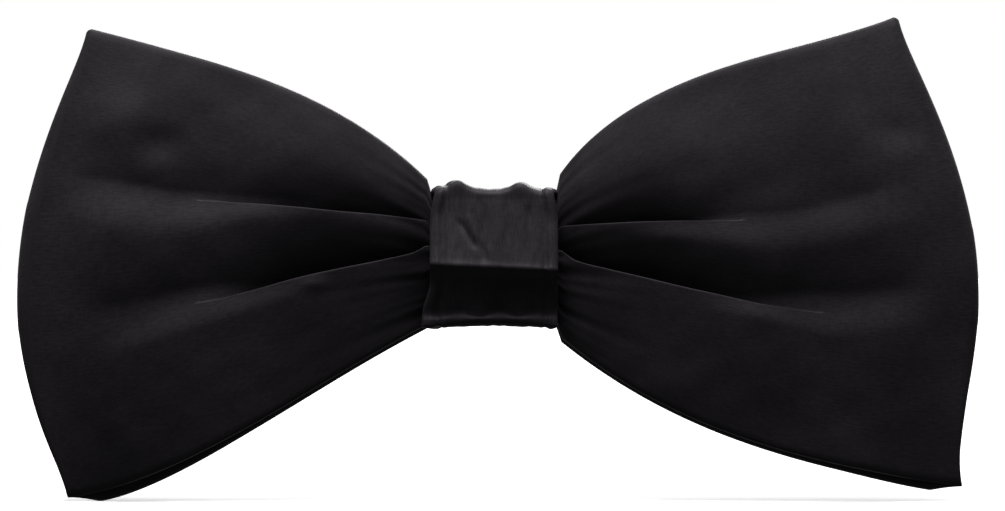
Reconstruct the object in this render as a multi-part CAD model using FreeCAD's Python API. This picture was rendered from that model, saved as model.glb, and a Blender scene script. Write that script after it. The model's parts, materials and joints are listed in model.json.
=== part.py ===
import FreeCAD, Part
import math
import os

# Pre-tied bow tie on an adjustable neck band. Millimetres, +Z up, as worn.
# The bow faces -Y and spreads along X. The origin is the middle of the collar-side face
# of the centre wrap, and the neck band runs in a circle behind it, towards +Y.

# ---- driving dimensions ----
BOW_WIDTH = 120.0
BOW_HEIGHT = 60.0
KNOT_WIDTH = 15.2
KNOT_HEIGHT = 16.9
KNOT_DEPTH = 12.4
CLOTH = 0.8  # doubled cloth of the centre wrap
BAND_WIDTH = 13.0
BAND_THICK = 0.7
NECK_RADIUS = 57.5  # inside of the closed neck band, which just touches the wrap's collar side
WIRE_RADIUS = 0.8  # of the ring and of the hook's bar
STITCH_RADIUS = 0.2

# ---- gaps ----
PLY_GAP = 0.05
SLIDE_GAP = 0.2
STITCH_HOLE_GAP = 0.05
PAST = 4.0  # how far a cutting shape runs past what it cuts

# ---- the bow's outline, one wing at a time ----
# Each edge is a cubic curve: two end points and two control points, as shares of the bow's
# half width (x) and half height (z). The wings are not quite mirror images of each other.
WINGS = {
    -1: {
        "top": [(0.130, 0.310), (0.350, 0.750), (0.633, 0.840), (0.843, 0.947)],
        "outer": [(0.843, 0.947), (0.977, 0.440), (1.092, -0.350), (0.890, -0.997)],
        "bottom": [(0.890, -0.997), (0.633, -0.933), (0.400, -0.550), (0.130, -0.277)],
        "tip": 0.990,
    },
    1: {
        "top": [(0.130, 0.327), (0.295, 0.827), (0.682, 0.863), (0.837, 0.997)],
        "outer": [(0.837, 0.997), (1.097, 0.073), (1.000, -0.420), (0.975, -0.950)],
        "bottom": [(0.975, -0.950), (0.633, -0.867), (0.367, -0.717), (0.130, -0.327)],
        "tip": 1.010,
    },
}
REAR_LAYER_DROP = 0.6  # the strip's rear layer hangs this much lower than its front one
REAR_CORNER_SET_BACK = 3.9

# ---- the bow's depth in plan: where the strip's two layers run ----
WAIST_HALF_WIDTH = KNOT_WIDTH / 2 + 0.15
WAIST_HALF_HEIGHT = 6.6
WRAP_BUILD_UP = 2.1  # wrap cloth, its interlining, the binding thread and the slack between them
WAIST_FRONT = WRAP_BUILD_UP - KNOT_DEPTH
WAIST_BACK = -3.4
WAIST_LAYER = 3.35  # one gathered layer
WING_LAYER = 1.8  # one flat layer
FOLD_RADIUS = 2.2
FOLD_Y = -6.6
# (share of the tip's distance, front of the layer, back of the layer)
WING_STATIONS = [(0.50, -12.4, -3.0), (0.80, -10.4, -3.6)]
PLY_LEVELS = {
    "bow_face_cloth": (0.0, 0.31),
    "bow_interlining": (0.345, 0.655),
    "bow_lining_cloth": (0.69, 1.0),
}

# ---- neck band and its hardware, by angle round the neck (degrees from +X) ----
NECK_CENTRE = FreeCAD.Vector(0, NECK_RADIUS, 0)
BAND_LIFT = 1.5  # inside the wrap, the band lies this far in front of the wrap's collar side
BAND_BEND_RADIUS = 10.0  # of the soft bend with which the band leaves the wrap
BAND_BEND_START = 6.0
HINGE_GAP = 0.5  # bare band each side of the line where a band half bends outward
RING_ANGLE = 80.5
RING_TAB_ANGLE = 71.0
RING_LENGTH = 8.0
HOOK_ANGLE = 104.0
HOOK_PLY_ANGLE = 7.0  # length of the band's turned end on the hook
TAKE_UP_ANGLE = 10.0  # half of the slider's travel
SLIDER_ANGLE = 130.0
SLIDER_HALF_ANGLE = 4.7
SLIDER_BAR_HALF_ANGLE = 0.75
SLIDER_END_BAR_ANGLE = 1.1
SLIDER_RUN_RADIUS = NECK_RADIUS + 1.1  # the band stands off the neck where the slider runs
SLIDER_RUN_START = 170.0
HARDWARE_TOP = 8.2
BAND_HALF = BAND_WIDTH / 2
TURN_RADIUS = WIRE_RADIUS + SLIDE_GAP  # inside of the band's turn round a bar
HARDWARE_SHEET = 0.7


def vec(x, y, z=0.0):
    return FreeCAD.Vector(x, y, z)


def polar(radius, angle, centre=NECK_CENTRE):
    """A point at that radius and angle (degrees) about a vertical axis."""
    a = math.radians(angle)
    return centre + vec(radius * math.cos(a), radius * math.sin(a))


def box(x0, x1, y0, y1, z0, z1):
    return Part.makeBox(x1 - x0, y1 - y0, z1 - z0, vec(x0, y0, z0))


def joined(solids):
    whole = solids[0]
    for solid in solids[1:]:
        whole = whole.fuse(solid)
    return whole.removeSplitter()


def prism(edges, direction):
    """The solid that a closed outline of edges sweeps along a direction."""
    return Part.Face(Part.Wire(Part.__sortEdges__(edges))).extrude(direction)


def arc_strip(r0, r1, a0, a1, half_height=BAND_HALF, centre=NECK_CENTRE):
    """A strip on edge, bent round a vertical axis from angle a0 to a1."""
    middle = (a0 + a1) / 2
    inner = Part.Arc(polar(r0, a0, centre), polar(r0, middle, centre), polar(r0, a1, centre))
    outer = Part.Arc(polar(r1, a0, centre), polar(r1, middle, centre), polar(r1, a1, centre))
    start = Part.LineSegment(polar(r0, a0, centre), polar(r1, a0, centre))
    end = Part.LineSegment(polar(r0, a1, centre), polar(r1, a1, centre))
    edges = [curve.toShape() for curve in (inner, end, outer, start)]
    solid = prism(edges, vec(0, 0, 2 * half_height))
    solid.translate(vec(0, 0, -half_height))
    return solid


def rounded_sleeve(half_width, y0, y1, half_height, wall, radius):
    """A tube along X with a rounded rectangular section in the YZ plane."""

    def bar(inset, corner):
        solid = box(-half_width, half_width, y0 + inset, y1 - inset, inset - half_height, half_height - inset)
        along_x = [e for e in solid.Edges if abs(e.tangentAt(e.FirstParameter).x) > 0.9]
        return solid.makeFillet(corner, along_x)

    return bar(0, radius).cut(bar(wall, radius - wall))


def write(name, shape):
    if not shape.isValid():
        raise ValueError(name + " is not a valid solid")
    shape.exportStep("parts/" + name + ".step")
    print(name, len(shape.Solids), "solid(s)", round(shape.Volume, 1), "mm3")


# ---- the bow ----


def outline_edge(side, shares, drop, y):
    points = [vec(side * x * BOW_WIDTH / 2, y, z * BOW_HEIGHT / 2 - drop) for x, z in shares]
    curve = Part.BezierCurve()
    curve.setPoles(points)
    return curve.toShape()


def outline_tool(y0, y1, drop, set_back):
    """Everything inside the bow's outline between two depths."""
    pieces = [box(-WAIST_HALF_WIDTH, WAIST_HALF_WIDTH, y0, y1, -WAIST_HALF_HEIGHT, WAIST_HALF_HEIGHT)]
    for side, wing in WINGS.items():
        corner_x, corner_z = wing["bottom"][0]
        corner = (corner_x - set_back / (BOW_WIDTH / 2), corner_z)
        outer = wing["outer"][:3] + [corner]
        bottom = [corner] + wing["bottom"][1:]
        edges = [outline_edge(side, shares, drop, y0) for shares in (wing["top"], outer, bottom)]
        inner_top = edges[0].Vertexes[0].Point
        inner_bottom = edges[2].Vertexes[-1].Point
        edges.append(Part.LineSegment(inner_bottom, inner_top).toShape())
        pieces.append(prism(edges, vec(0, y1 - y0, 0)))
        # the cloth is gathered right up to the edge of the centre wrap
        x0, x1 = sorted((side * WAIST_HALF_WIDTH, side * (wing["top"][0][0] * BOW_WIDTH / 2 + 0.3)))
        pieces.append(box(x0, x1, y0, y1, -WAIST_HALF_HEIGHT, WAIST_HALF_HEIGHT))
    return joined(pieces)


def strip_contour(level):
    """The solid inside the strip's line in plan, at a level from its outer (0) to its inner face (1)."""
    height = BOW_HEIGHT / 2 + PAST
    waist = level * WAIST_LAYER
    flat = level * WING_LAYER
    radius = FOLD_RADIUS - flat
    edges = []
    for y in (WAIST_FRONT + waist, WAIST_BACK - waist):
        ends = [vec(side * WAIST_HALF_WIDTH, y, -height) for side in (-1, 1)]
        edges.append(Part.LineSegment(*ends).toShape())
    for side in (-1, 1):
        tip = WINGS[side]["tip"] * BOW_WIDTH / 2
        fold_x = side * (tip - FOLD_RADIUS)
        rows = [(side * WAIST_HALF_WIDTH, WAIST_FRONT + waist, WAIST_BACK - waist)]
        rows += [(side * share * tip, front + flat, back - flat) for share, front, back in WING_STATIONS]
        rows += [(fold_x, FOLD_Y - radius, FOLD_Y + radius)]
        for column in (1, 2):
            curve = Part.BSplineCurve()
            curve.interpolate([vec(row[0], row[column], -height) for row in rows])
            edges.append(curve.toShape())
        ends = [vec(fold_x, y, -height) for y in (FOLD_Y - radius, FOLD_Y + radius)]
        outermost = vec(fold_x + side * radius, FOLD_Y, -height)
        edges.append(Part.Arc(ends[0], outermost, ends[1]).toShape())
    return prism(edges, vec(0, 0, 2 * height))


def bow_ply(outer_level, inner_level, tool):
    ring = strip_contour(outer_level).cut(strip_contour(inner_level))
    return ring.common(tool)


def bow_plies():
    front = outline_tool(-KNOT_DEPTH - PAST, FOLD_Y, 0, 0)
    rear = outline_tool(FOLD_Y, 0, REAR_LAYER_DROP, REAR_CORNER_SET_BACK)
    tool = joined([front, rear])
    return {name: bow_ply(outer, inner, tool) for name, (outer, inner) in PLY_LEVELS.items()}


def back_seam_bars():
    """Stitches across the joint of the strip's two ends, behind the waist."""
    length, thread, pitch, rows = 2.4, 0.4, 2.4, 5
    sunk = 0.3
    bars = []
    for row in range(rows):
        z = (row - (rows - 1) / 2) * pitch
        y = WAIST_BACK
        bars.append(box(-length / 2, length / 2, y - sunk, y, z - thread / 2, z + thread / 2))
    return Part.makeCompound(bars)


def waist_thread():
    """Turns of thread that bind the gathered waist."""
    turns, thread, pitch = 7, 0.3, 0.42
    corner = 1.2 * thread
    y0 = WAIST_FRONT - PLY_GAP - thread
    y1 = WAIST_BACK + PLY_GAP + thread
    half_height = WAIST_HALF_HEIGHT + PLY_GAP + thread
    rings = []
    for turn in range(turns):
        ring = rounded_sleeve(thread / 2, y0, y1, half_height, thread, corner)
        ring.translate(vec((turn - (turns - 1) / 2) * pitch, 0, 0))
        rings.append(ring)
    return Part.makeCompound(rings)


# ---- the centre wrap ----


WRAP_CORNER = 1.5
WRAP_HEM = 0.6  # the interlining stops this far inside the wrap's side edges


def wrap_cloth():
    return rounded_sleeve(KNOT_WIDTH / 2, -KNOT_DEPTH, 0, KNOT_HEIGHT / 2, CLOTH, WRAP_CORNER)


def wrap_interlining():
    inset = CLOTH + PLY_GAP
    wall = 0.6 * CLOTH
    half_width = KNOT_WIDTH / 2 - WRAP_HEM
    half_height = KNOT_HEIGHT / 2 - inset
    return rounded_sleeve(half_width, inset - KNOT_DEPTH, -inset, half_height, wall, CLOTH)


def wrap_seam_bars():
    """Hand stitches that close the wrap on its collar side, sunk flush into the cloth."""
    count, length, thread, slant, margin = 6, 1.5, 0.3, 30, 1.5
    z = -4.0
    pitch = (KNOT_WIDTH - 2 * margin) / (count - 1)
    bars = []
    for i in range(count):
        x = (i - (count - 1) / 2) * pitch
        bar = box(x - length / 2, x + length / 2, -thread, 0, z - thread / 2, z + thread / 2)
        bar.rotate(vec(x, 0, z), vec(0, 1, 0), slant)
        bars.append(bar)
    return Part.makeCompound(bars)


# ---- the neck band ----


def band_leaving_angle():
    """The angle, in radians from -Y, at which the straight run from the wrap meets the neck circle."""
    across = NECK_RADIUS - BAND_BEND_RADIUS
    deep = across + BAND_LIFT
    return math.atan2(BAND_BEND_START, deep) + math.acos(across / math.hypot(deep, BAND_BEND_START))


def front_band_face(outward):
    """The front band's plan line that far outside its inner face, as edges, and its two ends."""
    leaving = band_leaving_angle()
    ending = math.pi / 2 - HINGE_GAP / NECK_RADIUS
    y = -BAND_LIFT - outward
    edges = [Part.LineSegment(vec(-BAND_BEND_START, y), vec(BAND_BEND_START, y)).toShape()]
    ends = []
    for side in (-1, 1):
        bend_centre = vec(side * BAND_BEND_START, BAND_BEND_RADIUS - BAND_LIFT)
        joints = []
        for centre, radius, a0, a1 in (
            (bend_centre, BAND_BEND_RADIUS + outward, 0, leaving),
            (NECK_CENTRE, NECK_RADIUS + outward, leaving, ending),
        ):
            angles = (a0, (a0 + a1) / 2, a1)
            arc = [centre + vec(side * radius * math.sin(a), -radius * math.cos(a)) for a in angles]
            edges.append(Part.Arc(*arc).toShape())
            joints += [arc[0], arc[2]]
        edges.append(Part.LineSegment(joints[1], joints[2]).toShape())
        ends.append(joints[3])
    return edges, ends


def front_band():
    """Straight through the wrap, then tangent to the neck, and round it to both sides."""
    inner, inner_ends = front_band_face(0)
    outer, outer_ends = front_band_face(BAND_THICK)
    caps = [Part.LineSegment(a, b).toShape() for a, b in zip(inner_ends, outer_ends)]
    solid = prism(inner + outer + caps, vec(0, 0, BAND_WIDTH))
    solid.translate(vec(0, 0, -BAND_HALF))
    return solid


def tack_pins(radius):
    """Stitches that hold the band to the back of the gathered waist."""
    half_spread_x, half_spread_z = 4.5, 4.0
    y0 = WAIST_BACK - 0.8
    y1 = -BAND_LIFT - 0.1
    pins = []
    for x in (-half_spread_x, half_spread_x):
        for z in (-half_spread_z, half_spread_z):
            pins.append(Part.makeCylinder(radius, y1 - y0, vec(x, y0, z), vec(0, 1, 0)))
    return Part.makeCompound(pins)


def turned_end(radius, angle, ply_angle, towards):
    """The band's end round a bar: inner ply at radius, a half turn, and an outer ply that goes back."""
    outer_ply = radius + BAND_THICK + 2 * TURN_RADIUS
    bar = polar(radius + BAND_THICK + TURN_RADIUS, angle)
    start = angle if towards > 0 else angle - 180
    a0, a1 = sorted((angle, angle - towards * ply_angle))
    turn = arc_strip(TURN_RADIUS, TURN_RADIUS + BAND_THICK, start, start + 180, BAND_HALF, bar)
    return turn, arc_strip(outer_ply, outer_ply + BAND_THICK, a0, a1)


def ring_side_band():
    gap = math.degrees(HINGE_GAP / NECK_RADIUS)
    run = arc_strip(NECK_RADIUS, NECK_RADIUS + BAND_THICK, gap, RING_ANGLE)
    turn, tab = turned_end(NECK_RADIUS, RING_ANGLE, RING_ANGLE - RING_TAB_ANGLE, 1)
    return joined([run, turn, tab])


def stitch_row(radius, r0, r1, angle, count=5):
    """A row of stitches up the band, each running straight through its plies."""
    direction = polar(1, angle) - NECK_CENTRE
    margin = 1.5
    pitch = (BAND_WIDTH - 2 * margin) / (count - 1)
    pins = []
    for i in range(count):
        foot = polar(r0, angle) + vec(0, 0, (i - (count - 1) / 2) * pitch)
        pins.append(Part.makeCylinder(radius, r1 - r0, foot, direction))
    return Part.makeCompound(pins)


def ring_end_stitches(radius):
    outer = NECK_RADIUS + 2 * (BAND_THICK + TURN_RADIUS)
    from_tab_end = 2.5
    sunk = 0.1
    return stitch_row(radius, NECK_RADIUS + sunk, outer, RING_TAB_ANGLE + from_tab_end)


def hook_side_band():
    """The run that the slider moves on. It steps off the neck just behind the bend at its side."""
    gap = math.degrees(HINGE_GAP / NECK_RADIUS)
    corners = [
        polar(NECK_RADIUS, 180 - gap),
        polar(NECK_RADIUS + BAND_THICK, 180 - gap),
        polar(SLIDER_RUN_RADIUS + BAND_THICK, SLIDER_RUN_START),
        polar(SLIDER_RUN_RADIUS, SLIDER_RUN_START),
    ]
    sides = [Part.LineSegment(corners[i - 1], corners[i]).toShape() for i in range(4)]
    step = prism(sides, vec(0, 0, BAND_WIDTH))
    step.translate(vec(0, 0, -BAND_HALF))
    clear = 0.6
    end = HOOK_ANGLE + HOOK_PLY_ANGLE + TAKE_UP_ANGLE + clear
    run = arc_strip(SLIDER_RUN_RADIUS, SLIDER_RUN_RADIUS + BAND_THICK, end, SLIDER_RUN_START)
    return joined([step, run])


def hook_turn():
    ply_end = HOOK_ANGLE + HOOK_PLY_ANGLE
    inner = arc_strip(SLIDER_RUN_RADIUS, SLIDER_RUN_RADIUS + BAND_THICK, HOOK_ANGLE, ply_end)
    turn, outer = turned_end(SLIDER_RUN_RADIUS, HOOK_ANGLE, HOOK_PLY_ANGLE, -1)
    return joined([inner, turn, outer])


# radii of the slider's layers, from the neck outward
RUN_OUTSIDE = SLIDER_RUN_RADIUS + BAND_THICK
SEWN_PLY = RUN_OUTSIDE + 2 * PLY_GAP
SLIDER_BAR = SEWN_PLY + BAND_THICK + SLIDE_GAP
SLIDER_BAR_OUTSIDE = SLIDER_BAR + 0.8
RETURN_PLY = SLIDER_BAR_OUTSIDE + SLIDE_GAP
SEWN_TURN_ANGLE = SLIDER_ANGLE + 0.9
SEWN_END_ANGLE = SLIDER_ANGLE - 3.5


def return_run():
    """From the hook's turn back to the slider's middle bar, and round it."""
    clear = 0.8
    start = HOOK_ANGLE + HOOK_PLY_ANGLE + clear
    turned = SEWN_TURN_ANGLE
    outer = arc_strip(RETURN_PLY, RETURN_PLY + BAND_THICK, start, turned)
    sewn = arc_strip(SEWN_PLY, SEWN_PLY + BAND_THICK, SEWN_END_ANGLE, turned)
    centre = polar((SEWN_PLY + RETURN_PLY + BAND_THICK) / 2, turned)
    outside = (RETURN_PLY + BAND_THICK - SEWN_PLY) / 2
    turn = arc_strip(outside - BAND_THICK, outside, turned, turned + 180, BAND_HALF, centre)
    return joined([outer, turn, sewn])


def slider_stitches(radius):
    proud = 0.05
    from_end = 1.0
    return stitch_row(radius, SEWN_PLY, RETURN_PLY + BAND_THICK + proud, SEWN_END_ANGLE + from_end)


# ---- hardware ----


def slider():
    """A frame with two end bars on the neck side of the band and a middle bar outside it."""
    end_bar_r0 = SLIDER_RUN_RADIUS - SLIDE_GAP - HARDWARE_SHEET
    rail_foot = BAND_HALF + 0.25
    low, high = SLIDER_ANGLE - SLIDER_HALF_ANGLE, SLIDER_ANGLE + SLIDER_HALF_ANGLE
    whole = arc_strip(end_bar_r0, SLIDER_BAR_OUTSIDE, low, high, HARDWARE_TOP)
    inside = arc_strip(end_bar_r0 - 1, SLIDER_BAR_OUTSIDE + 1, low - 1, high + 1, rail_foot)
    rails = whole.cut(inside)
    end_bars = []
    for a in (low, high - SLIDER_END_BAR_ANGLE):
        r1 = end_bar_r0 + HARDWARE_SHEET
        end_bars.append(arc_strip(end_bar_r0, r1, a, a + SLIDER_END_BAR_ANGLE, HARDWARE_TOP))
    a0, a1 = SLIDER_ANGLE - SLIDER_BAR_HALF_ANGLE, SLIDER_ANGLE + SLIDER_BAR_HALF_ANGLE
    middle = arc_strip(SLIDER_BAR, SLIDER_BAR_OUTSIDE, a0, a1, HARDWARE_TOP)
    return joined([rails, middle] + end_bars)


def placed_on_bar(shape, radius, angle, turn):
    """Puts a piece drawn about its own bar, lying along +X, onto that bar's place on the neck."""
    shape.rotate(vec(0, 0, 0), vec(0, 0, 1), turn)
    shape.translate(polar(radius, angle))
    return shape


def ring():
    """A closed wire rectangle with rounded corners. Its first side is the bar in the band's turn."""
    top = HARDWARE_TOP - WIRE_RADIUS
    corner = 1.25 * WIRE_RADIUS
    on_arc = corner * (1 - math.sqrt(0.5))
    edges = []
    for x, inward in ((0, 1), (RING_LENGTH, -1)):
        edges.append(Part.LineSegment(vec(x, 0, corner - top), vec(x, 0, top - corner)).toShape())
        for z, middle_ward in ((-top, 1), (top, -1)):
            before = vec(x + inward * corner, 0, z)
            between = vec(x + inward * on_arc, 0, z + middle_ward * on_arc)
            after = vec(x, 0, z + middle_ward * corner)
            edges.append(Part.Arc(before, between, after).toShape())
    for z in (-top, top):
        edges.append(Part.LineSegment(vec(corner, 0, z), vec(RING_LENGTH - corner, 0, z)).toShape())
    path = Part.Wire(Part.__sortEdges__(edges))
    start = path.Edges[0]
    direction = start.tangentAt(start.FirstParameter)
    section = Part.Wire(Part.makeCircle(WIRE_RADIUS, start.valueAt(start.FirstParameter), direction))
    shape = path.makePipeShell([section], True, True)
    return placed_on_bar(shape, NECK_RADIUS + BAND_THICK + TURN_RADIUS, RING_ANGLE, RING_ANGLE + 90)


def hook():
    """A slotted plate whose tongue ends in an inward lip that catches the ring."""
    sheet = 0.9
    slot_end = 3.4
    plate_end = 5.0
    tongue_start, tongue_half = 9.0, 3.2
    lip_x, lip_radius, lip_length = 12.0, 1.5, 2.6
    top = HARDWARE_TOP
    outline = [
        vec(0, -sheet / 2, -top),
        vec(plate_end, -sheet / 2, -top),
        vec(tongue_start, -sheet / 2, -tongue_half),
        vec(lip_x, -sheet / 2, -tongue_half),
        vec(lip_x, -sheet / 2, tongue_half),
        vec(tongue_start, -sheet / 2, tongue_half),
        vec(plate_end, -sheet / 2, top),
        vec(0, -sheet / 2, top),
    ]
    plate = Part.Face(Part.makePolygon(outline + outline[:1])).extrude(vec(0, sheet, 0))
    slot_half = BAND_HALF + 0.35
    plate = plate.cut(box(-1, slot_end, -sheet, sheet, -slot_half, slot_half))
    bar = Part.makeCylinder(WIRE_RADIUS, 2 * top, vec(0, 0, -top))
    bend_centre = vec(lip_x, -lip_radius)
    bend = arc_strip(lip_radius - sheet / 2, lip_radius + sheet / 2, -90, 90, tongue_half, bend_centre)
    lip_y = -2 * lip_radius
    lip = box(lip_x - lip_length, lip_x, lip_y - sheet / 2, lip_y + sheet / 2, -tongue_half, tongue_half)
    shape = joined([plate, bar, bend, lip])
    return placed_on_bar(shape, SLIDER_RUN_RADIUS + BAND_THICK + TURN_RADIUS, HOOK_ANGLE, HOOK_ANGLE - 90)


def main():
    os.makedirs("parts", exist_ok=True)
    hole = STITCH_RADIUS + STITCH_HOLE_GAP
    plies = bow_plies()
    plies["bow_face_cloth"] = plies["bow_face_cloth"].cut(back_seam_bars()).cut(tack_pins(hole))
    for name, ply in plies.items():
        write(name, ply)
    write("bow_back_seam", back_seam_bars())
    write("waist_thread", waist_thread())
    write("centre_wrap_cloth", wrap_cloth().cut(wrap_seam_bars()))
    write("centre_wrap_interlining", wrap_interlining())
    write("centre_wrap_seam", wrap_seam_bars())
    write("neck_band_front", front_band().cut(tack_pins(hole)))
    write("band_tack_stitches", tack_pins(STITCH_RADIUS))
    write("neck_band_ring_side", ring_side_band().cut(ring_end_stitches(hole)))
    write("ring_end_stitches", ring_end_stitches(STITCH_RADIUS))
    write("ring", ring())
    write("neck_band_hook_side", hook_side_band())
    write("slider", slider())
    write("neck_band_return", return_run().cut(slider_stitches(hole)))
    write("slider_end_stitches", slider_stitches(STITCH_RADIUS))
    write("neck_band_turn", hook_turn())
    write("hook", hook())


main()
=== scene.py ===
import json
import math

import bpy
import numpy as np
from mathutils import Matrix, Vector


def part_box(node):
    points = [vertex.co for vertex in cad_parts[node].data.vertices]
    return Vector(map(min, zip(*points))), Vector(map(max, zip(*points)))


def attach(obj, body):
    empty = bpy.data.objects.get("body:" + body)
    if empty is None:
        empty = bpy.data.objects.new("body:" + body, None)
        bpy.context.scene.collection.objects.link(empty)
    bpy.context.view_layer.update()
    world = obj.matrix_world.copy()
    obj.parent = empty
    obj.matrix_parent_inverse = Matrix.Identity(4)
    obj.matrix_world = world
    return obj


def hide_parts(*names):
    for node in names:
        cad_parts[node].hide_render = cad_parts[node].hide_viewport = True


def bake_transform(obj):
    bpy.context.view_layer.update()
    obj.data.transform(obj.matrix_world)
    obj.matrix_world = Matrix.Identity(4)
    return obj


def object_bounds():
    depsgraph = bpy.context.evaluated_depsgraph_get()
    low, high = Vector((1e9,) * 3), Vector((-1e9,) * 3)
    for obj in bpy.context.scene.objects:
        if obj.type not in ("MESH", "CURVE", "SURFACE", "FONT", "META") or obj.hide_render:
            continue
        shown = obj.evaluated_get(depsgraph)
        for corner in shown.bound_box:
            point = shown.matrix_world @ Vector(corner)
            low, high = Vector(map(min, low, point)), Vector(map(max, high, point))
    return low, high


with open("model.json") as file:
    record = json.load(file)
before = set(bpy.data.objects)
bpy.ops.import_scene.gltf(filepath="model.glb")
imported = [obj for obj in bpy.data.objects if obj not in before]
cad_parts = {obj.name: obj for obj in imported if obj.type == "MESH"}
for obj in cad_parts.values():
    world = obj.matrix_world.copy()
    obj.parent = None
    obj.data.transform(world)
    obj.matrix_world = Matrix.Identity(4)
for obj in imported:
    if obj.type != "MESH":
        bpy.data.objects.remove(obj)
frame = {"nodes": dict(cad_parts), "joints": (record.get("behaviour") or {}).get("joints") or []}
cad_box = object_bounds()

# Shapes are worked out in millimetres in the part's own frame, and make_mesh turns them into metres.
MM = 0.001


def box_mm(node):
    low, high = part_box(node)
    return np.array(low) / MM, np.array(high) / MM


def joint_place(name):
    for joint in frame["joints"]:
        if joint["name"] == name:
            return np.array(joint["pos_m"]) / MM
    raise ValueError(name)


# ---- driving sizes, read off the frame ----
bow_low, bow_high = box_mm("bow_face_cloth")
wrap_low, wrap_high = box_mm("centre_wrap_cloth")
band_high = box_mm("neck_band_front")[1]
slider_low, slider_high = box_mm("slider")
HALF_WIDTH = (bow_high[0] - bow_low[0]) / 2
HALF_HEIGHT = HALF_WIDTH / 2
KNOT_HALF_WIDTH = wrap_high[0]
KNOT_HALF_HEIGHT = wrap_high[2]
KNOT_FRONT = wrap_low[1]
BAND_HALF_HEIGHT = band_high[2]
BAND_THICK = 0.7
NECK_CENTRE = joint_place("slider_travel")[:2]
NECK_RADIUS = band_high[0] - BAND_THICK
RING_BAR = joint_place("ring_swing")[:2]
HOOK_BAR = joint_place("hook_swing")[:2]

# ---- the outline of the bow, the same curves as the CAD's: shares of half width and half height ----
WINGS = {
    -1: {
        "top": [(0.130, 0.310), (0.350, 0.750), (0.633, 0.840), (0.843, 0.947)],
        "outer": [(0.843, 0.947), (0.977, 0.440), (1.092, -0.350), (0.890, -0.997)],
        "bottom": [(0.890, -0.997), (0.633, -0.933), (0.400, -0.550), (0.130, -0.277)],
    },
    1: {
        "top": [(0.130, 0.327), (0.295, 0.827), (0.682, 0.863), (0.837, 0.997)],
        "outer": [(0.837, 0.997), (1.097, 0.073), (1.000, -0.420), (0.975, -0.950)],
        "bottom": [(0.975, -0.950), (0.633, -0.867), (0.367, -0.717), (0.130, -0.327)],
    },
}
REAR_DROP = 0.45  # how far the rear layer hangs below the front one
REAR_CORNER_SET_BACK = 3.9
STRIP_THICK = 1.1  # both plies and the interlining
FOLD_Y = -6.6  # the soft fold at a wing's outer edge lies in this plane

# ---- shares of the way from knot to tip ----
DRAW_IN_FROM = 0.55  # where a layer starts to make room for the outer fold
POINT_FROM = 0.75  # where the corners start to be drawn out
FADE_FROM = 0.86  # where folds and dents start to fade into the outer fold

# ---- how finely the cloth is divided ----
STEPS_ALONG = 96  # rows of each layer, from knot to tip
STEPS_LOBES = (38, 26, 36)  # columns below, between and above the two folds
STEPS_FOLD = 7  # rows round the soft fold at a wing's outer edge
STEPS_WAIST = 8  # rows between the wings, inside the wrap
STEPS_EDGE = 4  # columns round a rounded long edge
TRIAL_STEPS = 160  # how finely a row is searched for the places of its folds


def smooth(t):
    t = np.clip(t, 0, 1)
    return t * t * (3 - 2 * t)


def rising(share, start):
    """0 up to start, then smoothly up to 1 at the end."""
    return smooth((share - start) / (1 - start))


def bell(t):
    return np.exp(-t * t)


def signed_power(t, power):
    return np.sign(t) * np.abs(t) ** power


def through(x, stations):
    """A smooth curve through (x, y) stations, level at its ends."""
    xs = np.array([s[0] for s in stations], float)
    ys = np.array([s[1] for s in stations], float)
    slopes = np.zeros(len(xs))
    slopes[1:-1] = (ys[2:] - ys[:-2]) / (xs[2:] - xs[:-2])
    x = np.clip(x, xs[0], xs[-1])
    i = np.clip(np.searchsorted(xs, x, side="right") - 1, 0, len(xs) - 2)
    width = xs[i + 1] - xs[i]
    t = (x - xs[i]) / width
    start = (1 + 2 * t) * (1 - t) ** 2 * ys[i] + t * (1 - t) ** 2 * width * slopes[i]
    end = t * t * (3 - 2 * t) * ys[i + 1] - t * t * (1 - t) * width * slopes[i + 1]
    return start + end


def lengths_along(line):
    return np.r_[0, np.cumsum(np.linalg.norm(np.diff(line, axis=0), axis=1))]


def ripple(x, z, seed, wavelength):
    """A gentle, repeatable unevenness between about -1 and 1."""
    waves = 9
    rng = np.random.default_rng(seed)
    total = np.zeros(np.broadcast(x, z).shape)
    for _ in range(waves):
        angle = rng.uniform(0, 2 * math.pi)
        length = wavelength * rng.uniform(0.7, 1.6)
        phase = rng.uniform(0, 2 * math.pi)
        total += np.sin((x * math.cos(angle) + z * math.sin(angle)) * 2 * math.pi / length + phase)
    return total / math.sqrt(waves * 2)


# ---- meshes ----


def add_to_scene(name, data):
    made = bpy.data.objects.new(name, data)
    bpy.context.scene.collection.objects.link(made)
    return made


def make_mesh(name, points, faces, uvs=None):
    """A mesh object from points in millimetres. uvs holds one pair in millimetres for each point."""
    mesh = bpy.data.meshes.new(name)
    mesh.from_pydata((np.asarray(points) * MM).tolist(), [], faces)
    if uvs is not None:
        layer = mesh.uv_layers.new(name="cloth")
        corner = np.zeros(len(mesh.loops), int)
        mesh.loops.foreach_get("vertex_index", corner)
        layer.data.foreach_set("uv", (np.asarray(uvs)[corner] * MM).astype(np.float32).ravel())
    mesh.polygons.foreach_set("use_smooth", np.ones(len(mesh.polygons), bool))
    mesh.update()
    return add_to_scene(name, mesh)


def lattice_faces(rows, columns, close_rows, close_columns):
    """Quads over a grid of points, row by row."""
    row_count = rows if close_rows else rows - 1
    column_count = columns if close_columns else columns - 1
    r, c = np.meshgrid(np.arange(row_count), np.arange(column_count), indexing="ij")
    r2 = (r + 1) % rows
    c2 = (c + 1) % columns
    quads = np.stack([r * columns + c, r2 * columns + c, r2 * columns + c2, r * columns + c2], -1)
    return quads.reshape(-1, 4).tolist()


def unit(v):
    return v / np.maximum(np.linalg.norm(v, axis=-1, keepdims=True), 1e-9)


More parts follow.
